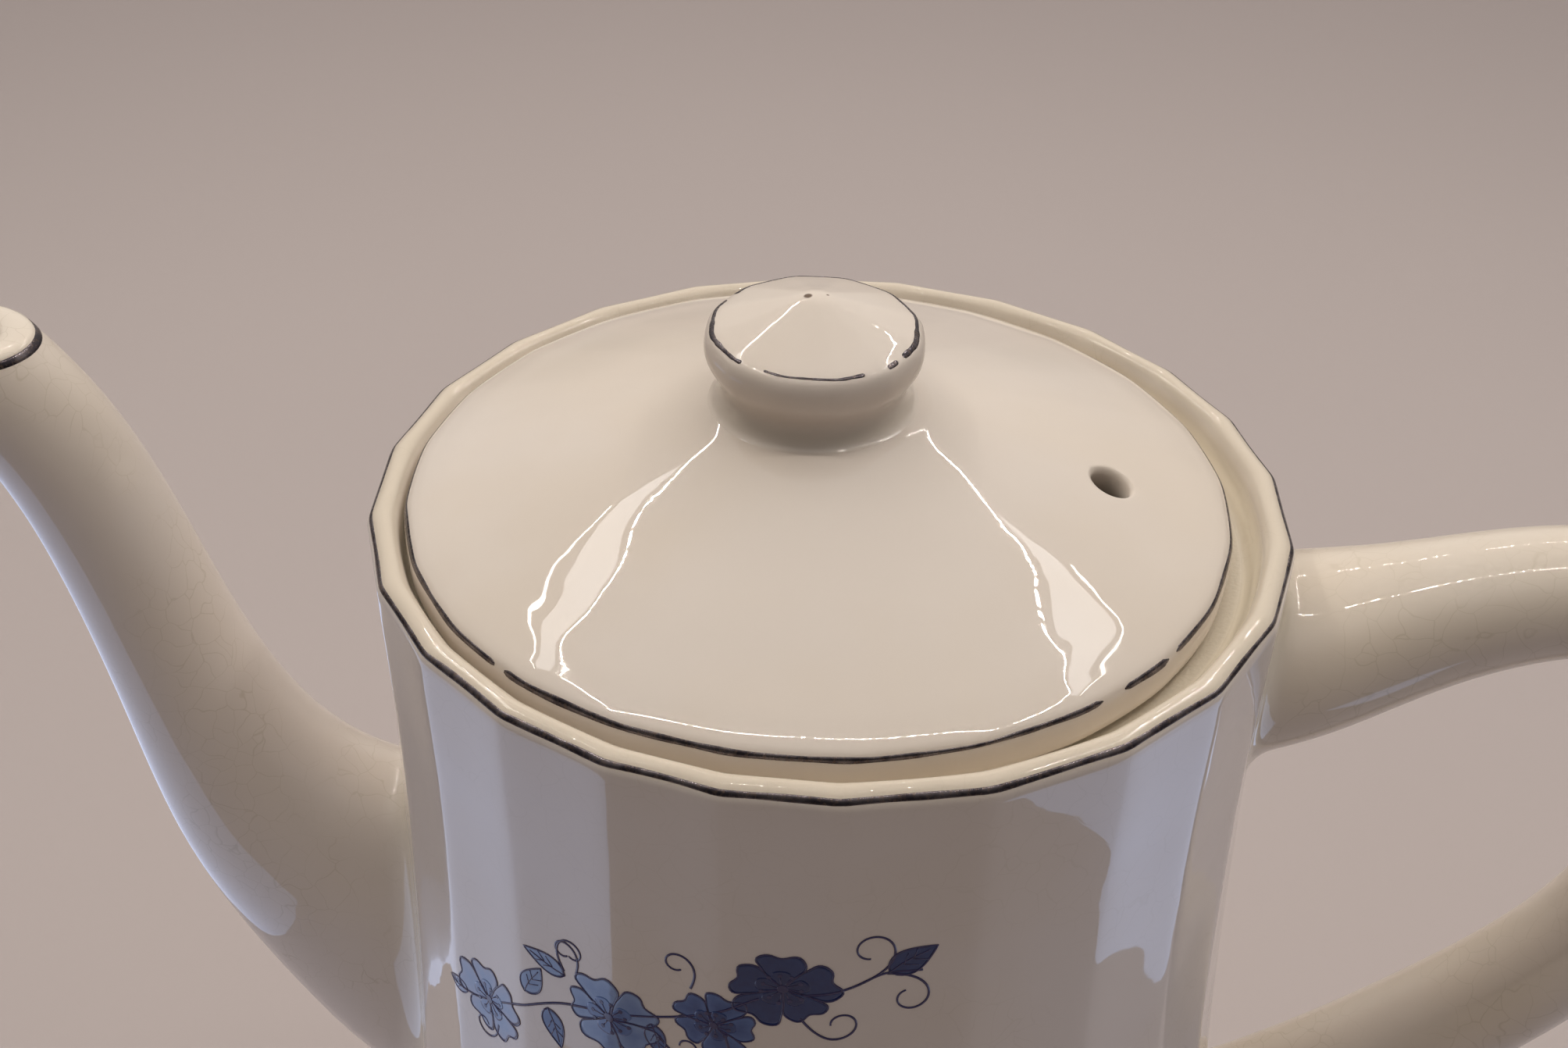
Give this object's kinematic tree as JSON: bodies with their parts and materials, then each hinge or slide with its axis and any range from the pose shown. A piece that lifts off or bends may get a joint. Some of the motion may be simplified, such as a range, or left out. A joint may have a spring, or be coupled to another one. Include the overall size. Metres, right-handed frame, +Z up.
{
  "type": "coffee pot",
  "caption": "Tall faceted glazed coffee pot with swan-neck spout, loop handle and a loose knobbed lid that lifts out of its seat.",
  "frame": {"origin": "on the table under the middle of the pot, on the upright axis of the body; the loop of the handle and the tip of the spout reach equally far to within 2.5 mm", "axes": "+Z up, +X towards the handle, -X towards the spout"},
  "size_m": [0.2099, 0.1066, 0.1902],
  "materials": {
    "body_glaze": "clear glossy glaze on cream earthenware",
    "spout_glaze": "clear glossy crazed glaze on cream earthenware",
    "handle_glaze": "clear glossy crazed glaze on cream earthenware",
    "lid_glaze": "clear glossy glaze on cream earthenware",
    "knob_glaze": "clear glossy glaze on cream earthenware"
  },
  "bodies": {
    "pot": {"pot_body": "body_glaze", "spout": "spout_glaze", "handle": "handle_glaze"},
    "lid": {"lid": "lid_glaze", "lid_knob": "knob_glaze"}
  },
  "joints": [
    {"name": "lid_lift", "type": "slide", "parent": "pot", "child": "lid", "axis": [0, 0, 1], "range_m": [0, 0.08]}
  ]
}
